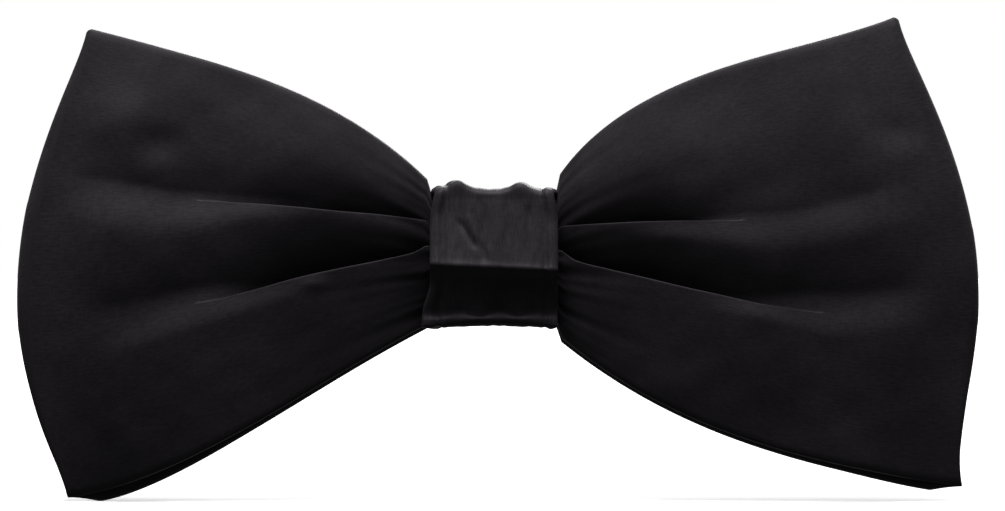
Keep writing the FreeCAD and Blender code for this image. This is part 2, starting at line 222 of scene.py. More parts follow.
def grid_normals(points, closed):
    """Normals of a grid of points. closed says whether its rows join up end to end."""
    if closed:
        along = np.roll(points, -1, 0) - np.roll(points, 1, 0)
    else:
        along = np.gradient(points, axis=0)
    across = np.gradient(points, axis=1)
    return unit(np.cross(along, across))


def softened(points, reach, closed, axis=0):
    """The grid with its small shapes averaged away over so many rows (or columns) each side."""
    total = points.copy()
    for shift in range(1, reach + 1):
        for way in (-shift, shift):
            if closed and axis == 0:
                total += np.roll(points, way, axis)
            else:
                count = points.shape[axis]
                at = np.clip(np.arange(count) + way, 0, count - 1)
                total += np.take(points, at, axis)
    return total / (2 * reach + 1)


def thick_sheet(name, outer, along, across, thick, closed, inner=None):
    """A closed shell of cloth between an outer and an inner face, with rounded long edges."""
    if inner is None:
        inner = outer - grid_normals(outer, closed) * thick
    rows, width = outer.shape[:2]
    turns = np.pi * (np.arange(STEPS_EDGE) + 1) / (STEPS_EDGE + 1)
    sections, uv_across = [outer], [across]
    for edge, turn in ((-1, turns), (0, turns[::-1])):
        neighbour = -2 if edge == -1 else 1
        outward = unit(outer[:, edge] - outer[:, neighbour])
        middle = (outer[:, edge] + inner[:, edge]) / 2
        half = (outer[:, edge] - inner[:, edge]) / 2
        radius = np.linalg.norm(half, axis=-1)[:, None, None]
        ring = middle[:, None] + half[:, None] * np.cos(turn)[None, :, None]
        ring = ring + outward[:, None] * radius * np.sin(turn)[None, :, None]
        sections.append(ring)
        sign = 1 if edge == -1 else -1
        uv_across.append(across[edge] + sign * thick / 2 * turn)
        if edge == -1:
            sections.append(inner[:, ::-1])
            uv_across.append(across[::-1])
    grid = np.concatenate(sections, 1)
    v = np.concatenate(uv_across)
    columns = len(v)
    uvs = np.stack([np.repeat(along[:, None], columns, 1), np.repeat(v[None], rows, 0)], -1)
    faces = lattice_faces(rows, columns, closed, True)
    if not closed:
        # the ends are closed with quads between the two faces, so that a bent end stays clean
        for row in (0, rows - 1):
            loop = [row * columns + c for c in range(columns)]
            front = loop[:width]
            back = loop[width + STEPS_EDGE:2 * width + STEPS_EDGE][::-1]
            cap = [[front[c], front[c + 1], back[c + 1], back[c]] for c in range(width - 1)]
            cap.append([front[-1]] + loop[width:width + STEPS_EDGE] + [back[-1]])
            cap.append([back[0]] + loop[2 * width + STEPS_EDGE:] + [front[0]])
            faces += cap if row else [face[::-1] for face in cap]
    return make_mesh(name, grid.reshape(-1, 3), faces, uvs.reshape(-1, 2))


def tube(name, paths, radius, sides=8, closed=False):
    """Round threads along one or more lines, as one mesh. Open ones get rounded ends."""
    points, faces = [], []
    end_reach, end_radius = 0.7 * radius, 0.45 * radius
    ring_angles = np.arange(sides) * 2 * math.pi / sides
    for path in paths:
        path = np.array(path, float)
        radii = np.full(len(path), radius)
        if closed:
            tangent = unit(np.roll(path, -1, 0) - np.roll(path, 1, 0))
        else:
            tangent = unit(np.gradient(path, axis=0))
            before = path[:1] - tangent[:1] * end_reach
            after = path[-1:] + tangent[-1:] * end_reach
            path = np.concatenate([before, path, after])
            tangent = np.concatenate([tangent[:1], tangent, tangent[-1:]])
            radii = np.concatenate([[end_radius], radii, [end_radius]])
        # any direction that the thread doesn't run in
        other_way = (0.13, 0.21, 0.97) if abs(tangent[0][2]) < 0.8 else (0.97, 0.13, 0.21)
        side_way = unit(np.cross(tangent, other_way))
        up_way = np.cross(side_way, tangent)
        ring = side_way[:, None] * np.cos(ring_angles)[None, :, None]
        ring = ring + up_way[:, None] * np.sin(ring_angles)[None, :, None]
        grid = path[:, None] + ring * radii[:, None, None]
        first = len(points)
        points += grid.reshape(-1, 3).tolist()
        rows = len(path)
        faces += [[first + i for i in face][::-1] for face in lattice_faces(rows, sides, closed, True)]
        if not closed:
            faces.append([first + i for i in range(sides)])
            faces.append([first + (rows - 1) * sides + i for i in range(sides)][::-1])
    return make_mesh(name, points, faces)


# ---- the bow's cloth ----

# The folded edges of the front layer, in millimetres on a bow 120 wide: at each station x and z of
# the edge, how deep the cloth lies behind it, and how far up it has come forward again. They are
# sharp beside the knot and fade out halfway along the wing. The first of a wing is its lower one.
BOW_SCALE = HALF_WIDTH / 60
FRONT_FOLDS = {
    -1: [
        [
            (7.6, 1.7, 1.5, 2), (9.9, 0.6, 2, 2.6), (14.2, -0.4, 2.6, 3.2), (19.2, -1.4, 2.9, 3.8),
            (24.2, -2.5, 2.3, 3.8), (29.2, -3.9, 1.1, 3), (33, -4.9, 0.3, 2.2),
            (37, -5.8, 0, 2), (57, -9, 0, 2),
        ],
        [
            (7.6, 4.6, 1.3, 1.6), (9.9, 4.8, 1.7, 2), (14.2, 5.3, 2.2, 2.4), (19.2, 5.7, 2.3, 3),
            (24.2, 6.2, 1.8, 3.2), (29.2, 6.6, 0.8, 2.6), (33, 6.8, 0.25, 2),
            (37, 7, 0, 2), (57, 7, 0, 2),
        ],
    ],
    1: [
        [
            (7.6, 1.1, 1.5, 1.8), (10.1, -0.4, 2, 2.2), (13.9, -1.4, 2.5, 2.8),
            (18.2, -2.4, 2.9, 3.4), (23.2, -3.6, 2.9, 4), (28.2, -4.7, 1.9, 4),
            (33.2, -5.8, 0.7, 3), (37, -6.4, 0.2, 2), (41, -7, 0, 2),
            (57, -8, 0, 2),
        ],
        [
            (7.6, 3.9, 1.3, 1.6), (10.1, 4, 1.7, 2), (13.9, 4.2, 2.1, 2.4), (18.2, 4.4, 1.9, 2.6),
            (23.2, 4.5, 0.9, 2.4), (27, 4.5, 0.3, 2), (31, 4.5, 0, 2), (57, 4, 0, 2),
        ],
    ],
}
# The soft swells that carry the folds on towards the tips: x and z of the foot of the slope, how
# deep the cloth goes back, how far up it has come forward again, and the height of the slope
FRONT_SWELLS = {
    -1: [
        [
            (19.2, -4.5, 0, 4, 3), (24.2, -5.2, 0.3, 4, 3), (29.2, -6.4, 0.7, 4.2, 3.4),
            (34.2, -8.2, 1.2, 4.8, 4.8), (39.2, -9.8, 1.25, 5, 5.6), (44.2, -11.5, 0.8, 5, 6),
            (49.2, -12, 0.3, 5, 6), (57, -12, 0, 5, 6),
        ],
        [
            (19.2, 4.5, 0, 4, 3), (24.2, 4.6, 0.3, 4, 3), (29.2, 4.4, 0.75, 4.4, 3.4),
            (34.2, 3.6, 1, 5.2, 4.4), (39.2, 2.6, 1.15, 5, 5.6), (44.2, 2.6, 1.15, 5, 6.4),
            (49.2, 3.2, 1, 4.4, 6.6), (54, 4.5, 0.5, 4, 6), (58, 4.5, 0, 4, 6),
        ],
    ],
    1: [
        [
            (23.2, -6.5, 0, 4, 3), (28.2, -7, 0.4, 4, 3), (33.2, -7.9, 0.85, 4.6, 3.4),
            (38.2, -9.2, 1.2, 5, 4.8), (43.2, -10.2, 1.15, 5, 5.8), (50.8, -9, 0.6, 4.5, 5),
            (57, -8.5, 0, 4, 5),
        ],
        [
            (13.9, 2.5, 0, 3.5, 2.5), (18.2, 2.4, 0.25, 4, 2.6), (23.2, 2, 0.7, 4.2, 3),
            (28.2, 1.4, 0.9, 4.8, 4), (33.2, 0.8, 0.85, 5.5, 4.8), (38.2, 0.8, 0.85, 5.5, 5.2),
            (43.2, 1.8, 0.85, 5.5, 5.4), (50.8, 4, 0.4, 5, 5), (57, 4, 0, 5, 5),
        ],
    ],
}


def rear_fold(line):
    """A fold of the rear layer: as the front's, but lower, shallower and softer."""
    lower, shallower, softer = 0.9, 0.55, 1.3
    return [(x, z - lower, shallower * deep, softer * reach) for x, z, deep, reach in line]


REAR_FOLDS = {side: [rear_fold(line) for line in lines] for side, lines in FRONT_FOLDS.items()}

FOLD_STEP = 0.2  # how far up the cloth takes to go back behind a folded edge
TUCK_REACH = 1.2  # how far up the cloth behind a folded edge is drawn down

# Soft dents (+) and swellings (-) of the front layer: x, z, width, height in shares of the half
# width, and how far in millimetres
FRONT_DENTS = {
    -1: [
        (0.69, 0.235, 0.05, 0.035, 0.45),
        (0.79, 0.290, 0.06, 0.050, -0.65),
        (0.37, -0.055, 0.03, 0.014, -0.22),
        (0.93, -0.160, 0.04, 0.030, 0.25),
    ],
    1: [
        (0.85, 0.262, 0.06, 0.026, 0.35),
        (0.90, 0.222, 0.05, 0.026, -0.35),
        (0.64, 0.080, 0.10, 0.050, -0.30),
        (0.95, -0.150, 0.05, 0.040, 0.25),
    ],
}


def cubic(points, share):
    """Points along a cubic curve, evenly spaced by length."""
    p = np.array(points, float) * (HALF_WIDTH, HALF_HEIGHT)
    t = np.linspace(0, 1, 400)[:, None]
    line = (1 - t) ** 3 * p[0] + 3 * (1 - t) ** 2 * t * p[1] + 3 * (1 - t) * t * t * p[2] + t**3 * p[3]
    length = lengths_along(line)
    at = share * length[-1]
    return np.stack([np.interp(at, length, line[:, 0]), np.interp(at, length, line[:, 1])], -1)


def fold_radius(b):
    """Half the depth of the soft fold at a wing's outer edge, tighter at its corners."""
    return 0.75 + 1.45 * np.sin(np.pi * np.clip(b, 0, 1)) ** 0.7


def wing_patch(side, rear, a, b):
    """x (outward) and z of one layer of a wing: a runs from knot to tip, b from bottom to top edge."""
    wing = WINGS[side]
    outer = list(wing["outer"])
    bottom = list(wing["bottom"])
    if rear:
        corner = (outer[3][0] - REAR_CORNER_SET_BACK / HALF_WIDTH, outer[3][1])
        outer[3] = corner
        bottom[0] = corner
    top_line = cubic(wing["top"], a)
    bottom_line = cubic(bottom[::-1], a)
    outer_line = cubic(outer[::-1], b)
    knot_bottom, knot_top = bottom_line[:1, :1], top_line[:1, :1]
    a_, b_ = a[..., None], b[..., None]
    knot_line = knot_bottom + (knot_top - knot_bottom) * b_
    tip_bottom, tip_top = bottom_line[-1:, :1], top_line[-1:, :1]
    across = (1 - b_) * bottom_line + b_ * top_line
    along = (1 - a_) * knot_line + a_ * outer_line
    corners = (1 - a_) * knot_line + a_ * ((1 - b_) * tip_bottom + b_ * tip_top)
    patch = across + along - corners
    x, z = patch[..., 0], patch[..., 1]
    z = z - STRIP_THICK / 2 * (2 * b - 1)
    x = x - fold_radius(b) * rising(a, DRAW_IN_FROM)
    # the corners are drawn out to points, outward and up or down
    point = np.abs(2 * b - 1) ** 10 * rising(a, POINT_FROM)
    x = x + 0.6 * point
    z = z + 0.4 * point * np.sign(2 * b - 1)
    return x, (z - REAR_DROP if rear else z)


def line_values(x, line):
    """The columns of a table of stations, at x."""
    station_x, *columns = zip(*line)
    return [BOW_SCALE * through(x / BOW_SCALE, list(zip(station_x, column))) for column in columns]


def lobe_columns():
    """Where each column of the cloth lies: its lobe, and how far up that lobe. Denser at the folds."""
    below, between, above = STEPS_LOBES
    lobe = np.repeat((0, 1, 2), (below, between, above + 1))
    up_below = 1 - (1 - np.arange(below) / below) ** 1.5
    up_between = (1 - np.cos(np.pi * np.arange(between) / between)) / 2
    up_above = (np.arange(above + 1) / above) ** 1.4
    return lobe, np.concatenate([up_below, up_between, up_above])


LOBE, UP_LOBE = lobe_columns()


def folded_patch(side, rear, a, folds):
    """The layer's a, b, x and z on a grid whose columns follow its folds."""
    trial_a, trial_b = np.meshgrid(a, np.linspace(0, 1, TRIAL_STEPS), indexing="ij")
    x, z = wing_patch(side, rear, trial_a, trial_b)
    stops = [np.zeros(len(a))]
    for line in folds:
        above = z - line_values(x, line)[0]
        stops.append(np.array([np.interp(0, above[row], trial_b[row]) for row in range(len(a))]))
    stops.append(np.ones(len(a)))
    stops = np.stack(stops, 1)
    b = stops[:, LOBE] + (stops[:, LOBE + 1] - stops[:, LOBE]) * UP_LOBE
    a_grid = np.repeat(a[:, None], b.shape[1], 1)
    x, z = wing_patch(side, rear, a_grid, b)
    return a_grid, b, x, z


def fold_recess(x, z, line):
    """How far the cloth lies back because of one folded edge: under the edge it is proud, with a
    rounded top, and above it the cloth comes forward again gradually."""
    line_z, deep, reach = line_values(x, line)
    deep = np.maximum(deep, 0)
    above = z - line_z
    shoulder = 0.01 + 0.08 * deep  # the height of the rounded top
    edge = 0.3 * shoulder * smooth(deep / 0.9)  # how far back its highest line lies
    valley = edge + (deep - edge) * smooth(above / FOLD_STEP)
    valley = valley * np.exp(-np.maximum(above - FOLD_STEP, 0) / reach)
    rounded = 1 - np.sqrt(1 - np.clip(1 + above / shoulder, 0, 1) ** 2)
    return np.where(above > 0, valley, edge * rounded)


def fold_tuck(x, z, line):
    """How far down the cloth is drawn behind a folded edge."""
    line_z, deep = line_values(x, line)[:2]
    deep = np.maximum(deep, 0)
    above = np.maximum(z - line_z, 0)
    # more than FOLD_STEP nearly to the fold's end, so that its edge hides the step behind it
    far = 0.4 * deep + 0.25 * smooth(deep / 0.02) + 0.1 * smooth(deep / 0.3)
    return far * smooth(above / FOLD_STEP) * np.exp(-np.maximum(above - FOLD_STEP, 0) / TUCK_REACH)


def swell_recess(x, z, line):
    """How far the cloth lies back above one soft swell."""
    foot_z, deep, reach, slope = line_values(x, line)
    above = z - foot_z
    return deep * smooth(above / slope) * np.exp(-np.maximum(above - slope, 0) / reach)


def gathers(x, b, seed):
    """Small creases that run out of the knot and die away."""
    deep, reach = 0.16, 5.0
    rng = np.random.default_rng(seed)
    total = np.zeros(x.shape)
    for count in (5, 8, 12, 17):
        phase = rng.uniform(0, 2 * math.pi)
        wander = rng.uniform(-0.5, 0.5)
        total += np.sin(2 * math.pi * count * b + phase + wander * x / 6) / math.sqrt(count)
    return total * deep * np.exp(-np.maximum(x - KNOT_HALF_WIDTH, 0) / reach)


def lean(a, b, top, bottom):
    """The layer's crown: it lies back towards its top edge, and a little towards its bottom edge."""
    up_from, down_from = 0.42, 0.62
    up = np.clip((b - up_from) / (1 - up_from), 0, 1) ** 2.3
    down = np.clip((down_from - b) / down_from, 0, 1) ** 1.35
    return through(a, top) * up + through(a, bottom) * down


def front_layer(side, a):
    """The front layer of a wing as a grid of points: rows from knot to tip, columns going up."""
    a, b, x, z = folded_patch(side, False, a, FRONT_FOLDS[side])
    # y of the layer's middle from knot to tip, and how far its edges lie back from that
    base = through(a, [(0, -9.7), (0.10, -11.2), (0.42, -12.6), (0.8, -10.8), (1, FOLD_Y)])
    base = base - fold_radius(b) * rising(a, DRAW_IN_FROM)
    towards_top = [(0, 2.2), (0.1, 2.6), (0.45, 3.2), (0.8, 2.6), (1, 1.4)]
    towards_bottom = [(0, 2.4), (0.2, 2.5), (0.5, 2.7), (0.8, 2.3), (1, 0.6)]
    base = base + lean(a, b, towards_top, towards_bottom)
    recess = sum(fold_recess(x, z, line) for line in FRONT_FOLDS[side])
    recess = recess + sum(swell_recess(x, z, line) for line in FRONT_SWELLS[side])
    recess = recess + gathers(x, b, seed=11 + side)
    for at_x, at_z, wide, high, far in FRONT_DENTS[side]:
        off_x = (x / HALF_WIDTH - at_x) / wide
        off_z = (z / HALF_WIDTH - at_z) / high
        recess = recess + far * bell(off_x) * bell(off_z)
    recess = recess + 0.20 * ripple(x, z, seed=5 + side, wavelength=19.0) * smooth(a / 0.3)
    recess = recess + 0.035 * ripple(x, z, seed=15 + side, wavelength=5.0) * smooth(a / 0.2)
    y = base + recess * (1 - rising(a, FADE_FROM))
    tuck = sum(fold_tuck(x, z, line) for line in FRONT_FOLDS[side])
    return np.stack([side * x, y, z - tuck], -1)


def rear_layer(side, a):
    """The rear layer of a wing, as the front one."""
    a, b, x, z = folded_patch(side, True, a, REAR_FOLDS[side])
    base = through(a, [(0, -3.45), (0.10, -3.3), (0.42, -2.9), (0.8, -3.8), (1, FOLD_Y)])
    base = base + fold_radius(b) * rising(a, DRAW_IN_FROM)
    towards_top = [(0, 0.8), (0.5, 0.6), (0.8, 0), (1, -1.6)]
    towards_bottom = [(0, 0.8), (0.5, 0.6), (1, 0)]
    base = base - lean(a, b, towards_top, towards_bottom)
    recess = sum(fold_recess(x, z, line) for line in REAR_FOLDS[side])
    recess = recess + 0.5 * gathers(x, b, seed=31 + side)
    recess = recess + 0.2 * ripple(x, z, seed=25 + side, wavelength=17.0) * smooth(a / 0.3)
    y = base - recess * (1 - rising(a, FADE_FROM))
    return np.stack([side * x, y, z], -1)


def narrowed_at_waist(points):
    """Draws the cloth in to the inside of the centre wrap, right at the wrap's edge."""
    out = np.abs(points[..., 0])
    inside, narrow_to, over = 0.66, KNOT_HALF_WIDTH - 0.35, 1.0
    points[..., 2] *= inside + (1 - inside) * smooth((out - narrow_to) / over)
    return points


def behind(layer, forward):
    """The inner face of a layer, nowhere nearer to the outer one than the cloth's thickness.
    forward is -1 for the front layer and 1 for the rear one."""
    columns_near = 9
    normals = grid_normals(layer, False)
    deepest = (layer - normals * STRIP_THICK)[..., 1] * -forward
    z = layer[..., 2]
    count = layer.shape[1]
    for shift in range(-columns_near, columns_near + 1):
        at = np.clip(np.arange(count) + shift, 0, count - 1)
        apart = z[:, at] - z
        reach = np.sqrt(np.clip(STRIP_THICK**2 - apart**2, 0, None))
        near = np.abs(apart) < STRIP_THICK
        deepest = np.where(near, np.maximum(deepest, -forward * layer[:, at, 1] + reach), deepest)
    inner = layer.copy()
    inner[..., 1] = deepest * -forward
    return softened(inner, 2, False, axis=1)


def outer_fold(front_edge, rear_edge, side, radius):
    """The rows that carry the strip round from its front to its rear layer."""
    rows = []
    for step in range(1, STEPS_FOLD + 1):
        turn = math.pi * step / (STEPS_FOLD + 1)
        row = front_edge + (rear_edge - front_edge) * (1 - math.cos(turn)) / 2
        row[:, 0] += side * radius * math.sin(turn)
        rows.append(row)
    return np.stack(rows)


def waist_rows(start, end):
    shares = (np.arange(STEPS_WAIST) + 1) / (STEPS_WAIST + 1)
    return start[None] + (end - start)[None] * shares[:, None, None]


def closed_loop(front, rear, radius):
    """The strip's rows in order: across the front, round the right tip, back, and round the left."""
    left, right = -1, 1
    return np.concatenate([
        front[left][::-1],
        waist_rows(front[left][0], front[right][0]),
        front[right],
        outer_fold(front[right][-1], rear[right][-1], right, radius),
        rear[right][::-1],
        waist_rows(rear[right][0], rear[left][0]),
        rear[left],
        outer_fold(front[left][-1], rear[left][-1], left, radius)[::-1],
    ])


def make_bow():
    """The bow's strip as one closed loop of cloth, with its length and its width."""
    least_radius = 0.12
    a = np.linspace(0, 1, STEPS_ALONG) ** 0.9
    front = {side: narrowed_at_waist(front_layer(side, a)) for side in (-1, 1)}
    rear = {side: narrowed_at_waist(rear_layer(side, a)) for side in (-1, 1)}
    edge_b = np.linspace(0, 1, front[1].shape[1])
    radius = fold_radius(edge_b)
    outer = closed_loop(front, rear, radius)
    front_in = {side: behind(front[side], -1) for side in (-1, 1)}
    rear_in = {side: behind(rear[side], 1) for side in (-1, 1)}
    inner = closed_loop(front_in, rear_in, np.maximum(radius - STRIP_THICK, least_radius))
    middle_column = outer.shape[1] // 2
    along = lengths_along(outer[:, middle_column])
    # the strip is widest at the outermost row of the right wing's front
    tip_row = STEPS_ALONG * 2 + STEPS_WAIST - 1
    across = lengths_along(outer[tip_row])
    cloth = thick_sheet("bow_cloth", outer, along, across, STRIP_THICK, True, inner)
    return cloth, along[-1], across[-1]


# ---- the centre wrap ----

CREST_Z = -1.15  # the line across the wrap where it stands out most
WRAP_THICK = 0.8
LINING_THICK = 0.4
LINING_OUTSIDE = 0.9  # how far inside the wrap's outer face the interlining starts


def wrap_section(x):
    """The wrap's outer line as y and z at x, from the back's lower edge up and over to the front."""
    k = x / KNOT_HALF_WIDTH
    # two bumps along the top edge
    top = KNOT_HALF_HEIGHT + 0.05 + 1.1 * bell((x + 4.9) / 1.6) + 0.75 * bell((x - 3.4) / 1.5)
    bottom = -KNOT_HALF_HEIGHT - 0.1 - 0.3 * k * k
    crest = CREST_Z - 0.35 * k
    # the lower lip of the wrap waves a little
    lip = 0.28 * math.cos(1.3 * (x - 0.6)) * (1 - k * k)
    front = KNOT_FRONT - 0.2
    side = 0.35 * abs(k) ** 3
    return [
        # up the collar side
        (-0.8, bottom + 0.3), (-0.12, bottom + 1.4), (-0.03, -4.0), (-0.03, 0.0), (-0.03, 4.0),
        # over the top
        (-0.12, KNOT_HALF_HEIGHT - 1.8), (-0.8, KNOT_HALF_HEIGHT - 0.7),
        (-3.0, top - 0.35), (-6.2, top - 0.1), (-9.1, top), (-10.15, top - 0.5),
        # down the front, past the crest
        (-10.45, 7.0), (-10.95 + side, 5.0), (-11.62 + side, 2.4),
        (front + 0.3 + side, crest + 0.9), (front + side, crest), (front + 0.3 + side, crest - 0.6),
        (-11.6 + side, -2.8), (-10.6 + side, -5.6), (-10.2 + side, -7.0 + lip),
        # and back underneath
        (-10.45 + side, bottom + 0.9), (-9.9, bottom + 0.1), (-8.4, bottom - 0.05),
        (-5.6, bottom + 0.05), (-3.0, bottom + 0.1),
    ]


def closed_curve(points, steps):
    """Points along a smooth closed curve through the given ones."""
    p = np.array(points, float)
    t = np.linspace(0, len(p), steps, endpoint=False)
    i = t.astype(int)
    f = (t - i)[:, None]
    p0, p1, p2, p3 = (p[(i + k) % len(p)] for k in (-1, 0, 1, 2))
    linear = p2 - p0
    square = 2 * p0 - 5 * p1 + 4 * p2 - p3
    cube = -p0 + 3 * p1 - 3 * p2 + p3
    return 0.5 * (2 * p1 + linear * f + square * f * f + cube * f**3)


def crease(x, z, start, end, wide):
    """1 along a straight line from start to end, fading to its sides and past its ends."""
    start, end = np.array(start), np.array(end)
    length = np.linalg.norm(end - start)
    way = (end - start) / length
    along = (x - start[0]) * way[0] + (z - start[1]) * way[1]
    off = (x - start[0]) * way[1] - (z - start[1]) * way[0]
    fade = 0.6
    fade_in = smooth((along + fade) / (2 * fade))
    fade_out = 1 - smooth((along - length + fade) / (2 * fade))
    return fade_in * fade_out * bell(off / wide)


# Small creases in the wrap's upper half: start and end as x and z, width, and how far out, in mm
WRAP_CREASES = [
    ((-4.3, 4.5), (-2.3, 1.2), 0.36, -0.20),
    ((-3.3, 5.0), (-2.1, 2.2), 0.40, 0.14),
    ((-1.5, 1.6), (-1.1, -0.4), 0.40, -0.12),
    ((-0.7, 1.4), (-0.4, 0.0), 0.40, 0.08),
    ((1.4, 6.4), (1.8, 0.8), 0.45, -0.06),
    ((4.3, 6.2), (4.2, 1.4), 0.45, -0.06),
]


def wrap_relief(x, z, edge):
    """How far out the wrap's small shapes lie: rolled edges, creases and unevenness."""
    roll_at, groove_at, wide = 0.93, 0.83, 0.05  # shares of the wrap's half width
    relief = 0.13 * bell((edge - roll_at) / wide) - 0.17 * bell((edge - groove_at) / wide)
    for start, end, crease_wide, far in WRAP_CREASES:
        relief = relief + far * crease(x, z, start, end, crease_wide)
    relief = relief + 0.08 * ripple(x * 2.2, z * 0.35, seed=77, wavelength=5.0)
    return relief + 0.03 * ripple(x * 3.0, z * 0.8, seed=78, wavelength=2.5)


def make_wrap():
    """The wrap and its interlining, with the length and the interlining's width."""
    steps_round, steps_wide = 320, 72
    share = np.linspace(-1, 1, steps_wide)
    xs = KNOT_HALF_WIDTH * signed_power(share, 0.85)
    yz = np.stack([closed_curve(wrap_section(x), steps_round) for x in xs], 1)
    x = np.repeat(xs[None], steps_round, 0)
    y, z = yz[..., 0], yz[..., 1]
    on_front = smooth((-8.0 - y) / 1.5)
    # the lower left of the wrap spreads by a millimetre
    flare = smooth((-3 - z) / 4.5) * smooth(-x / KNOT_HALF_WIDTH) * on_front
    x = x - flare * (np.abs(x) / KNOT_HALF_WIDTH) ** 2
    # and its top corners are drawn in
    x = x * (1 - 0.08 * smooth((z - 4.5) / 4.0) * on_front)
    edge = np.abs(xs)[None] / KNOT_HALF_WIDTH
    relief = wrap_relief(x, z, edge)
    grid = np.stack([x, y, z], -1)
    smooth_grid = softened(grid, 5, True)
    normals = grid_normals(smooth_grid, True)
    on_show = smooth((-1.0 - y) / 3.0)[..., None]
    outer = grid + normals * relief[..., None] * on_show
    inner = smooth_grid - normals * WRAP_THICK
    along = lengths_along(outer[:, steps_wide // 2])
    cloth = thick_sheet("centre_wrap", outer, along, xs, WRAP_THICK, True, inner)
    # the interlining lies under the cloth and stops short of its edges
    hem = 10
    xs, middle, normals = xs[hem:-hem], smooth_grid[:, hem:-hem], normals[:, hem:-hem]
    outer = middle - normals * LINING_OUTSIDE
    inner = middle - normals * (LINING_OUTSIDE + LINING_THICK)
    lining = thick_sheet("wrap_interlining", outer, along, xs, LINING_THICK, True, inner)
    return cloth, lining, along[-1], xs[-1] - xs[0]


def make_waist_thread():
    """Turns of thread round the gathered waist, inside the wrap."""
    turns, pitch, radius = 9, 0.36, 0.16
    angle = np.linspace(0, 2 * math.pi, 72, endpoint=False)
    half_deep, half_high, squareness = 3.75, 6.35, 0.8
    paths = []
    for turn in range(turns):
        y = FOLD_Y - 0.15 + half_deep * signed_power(np.cos(angle), squareness)
        z = half_high * signed_power(np.sin(angle), squareness)
        x = (turn - (turns - 1) / 2) * pitch + 0.12 * np.sin(angle + turn)
        paths.append(np.stack([x, y, z], -1))
    return tube("waist_thread_turns", paths, radius, 6, True)


def make_wrap_stitches():
    """Slanting hand stitches that close the wrap on its collar side."""
    count, z, reach, radius = 7, -4.0, 0.75, 0.14
    pitch = 2 * (KNOT_HALF_WIDTH - 1.2) / (count - 1)
    share = np.linspace(-1, 1, 7)
    paths = []
    for i in range(count):
        x = (i - (count - 1) / 2) * pitch
        height = 0.02 + 0.12 * (1 - share**2)
        paths.append(np.stack([x + reach * 0.5 * share, height, z + reach * share], -1))
    return tube("wrap_hand_stitches", paths, radius)


# ---- the neck band ----


def around(radius, degrees, centre=NECK_CENTRE):
    """Points in plan on a circle round the neck, or round another centre."""
    a = np.radians(degrees)
    return np.stack([centre[0] + radius * np.cos(a), centre[1] + radius * np.sin(a)], -1)


def place_angle(point):
    away = point - NECK_CENTRE
    return math.degrees(math.atan2(away[1], away[0]))


RING_ANGLE = place_angle(RING_BAR)
HOOK_ANGLE = place_angle(HOOK_BAR)
BAR_TURN = np.linalg.norm(RING_BAR - NECK_CENTRE) - NECK_RADIUS - BAND_THICK
RUN_RADIUS = np.linalg.norm(HOOK_BAR - NECK_CENTRE) - BAR_TURN - BAND_THICK
SLIDER_ANGLE = place_angle((slider_low[:2] + slider_high[:2]) / 2)
OUTSIDE = NECK_RADIUS + BAND_THICK  # the band's outer face, where it lies on the neck
RUN_OUTSIDE = RUN_RADIUS + BAND_THICK  # and where the slider runs on it
RETURN_RADIUS = RUN_OUTSIDE + 2 * BAR_TURN
SEWN_RADIUS = RUN_OUTSIDE + 0.1
RUN_START = 160.0  # where the band has come down onto the neck, behind the bend at its side
STEP_DEGREES = 2.0
PLY_END = HOOK_ANGLE + 7.0  # where the two plies from the hook's bar meet the slider's runs
BAND_LIFT = 1.5  # inside the wrap, the band lies this far in front of the wrap's collar side
BEND_RADIUS = 10.0
BEND_START = 6.0


def leaving_angle():
    """How far from the front the straight run from the wrap meets the neck circle, in degrees."""
    across = NECK_RADIUS - BEND_RADIUS
    deep = across + BAND_LIFT
    return math.degrees(math.atan2(BEND_START, deep) + math.acos(across / math.hypot(deep, BEND_START)))


def front_run():
    """Half of the band at the front, from its middle to where it lies on the neck, for the +X side."""
    leaving = leaving_angle()
    straight = [(x, -BAND_LIFT - BAND_THICK) for x in (0, 1.5, 3, 4.5)]
    centre = (BEND_START, BEND_RADIUS - BAND_LIFT)
    bend = around(BEND_RADIUS + BAND_THICK, np.linspace(-90, leaving - 90, 6), centre)
    last = around(OUTSIDE, leaving - 90)
    run = [bend[-1] + (last - bend[-1]) * share for share in (0.25, 0.5, 0.75)]
    return np.concatenate([straight, bend, run, [last]])


def strap(name, line):
    """A strap on edge whose outer face follows a line in plan, listed anticlockwise round the neck."""
    line = np.array(line, float)
    steps_high = 13
    # thick_sheet adds the rounded edges
    flat_half = BAND_HALF_HEIGHT - BAND_THICK / 2
    z = flat_half * np.sin(np.linspace(-1, 1, steps_high) * math.pi / 2)
    grid = np.stack(np.broadcast_arrays(line[:, :1], line[:, 1:], z[None]), -1)
    along = lengths_along(line)
    # barely visible unevenness, so that it doesn't read as sheet metal
    wave = 0.06 * ripple(along[:, None], z[None] * 0.4, seed=len(line), wavelength=14.0)
    normals = grid_normals(grid, False)
    grid = grid + normals * wave[..., None]
    return thick_sheet(name, grid, along, z, BAND_THICK, False), along[-1]


def eased(start, end, count):
    return start + (end - start) * smooth(np.linspace(0, 1, count))


def band_ring_line():
    """From the middle of the front round to the ring, round its bar, and back to the stitches."""
    front = front_run()
    side_start = leaving_angle() - 90 + STEP_DEGREES
    side = around(OUTSIDE, np.arange(side_start, RING_ANGLE - 1, STEP_DEGREES))
    turn = around(BAR_TURN, np.linspace(RING_ANGLE + 180, RING_ANGLE, 15), RING_BAR)
    # the turned-back tab comes down onto the band, and lies flat on it under the stitches
    steps_down, steps_flat = 7, 5
    flat_radius = OUTSIDE + 0.03
    down = eased(OUTSIDE + 2 * BAR_TURN, flat_radius, steps_down)
    tab_radius = np.r_[down, np.full(steps_flat, flat_radius)]
    tab = around(tab_radius, np.linspace(RING_ANGLE - 0.8, RING_ANGLE - 9.5, steps_down + steps_flat))
    return np.concatenate([front, side, turn, tab])


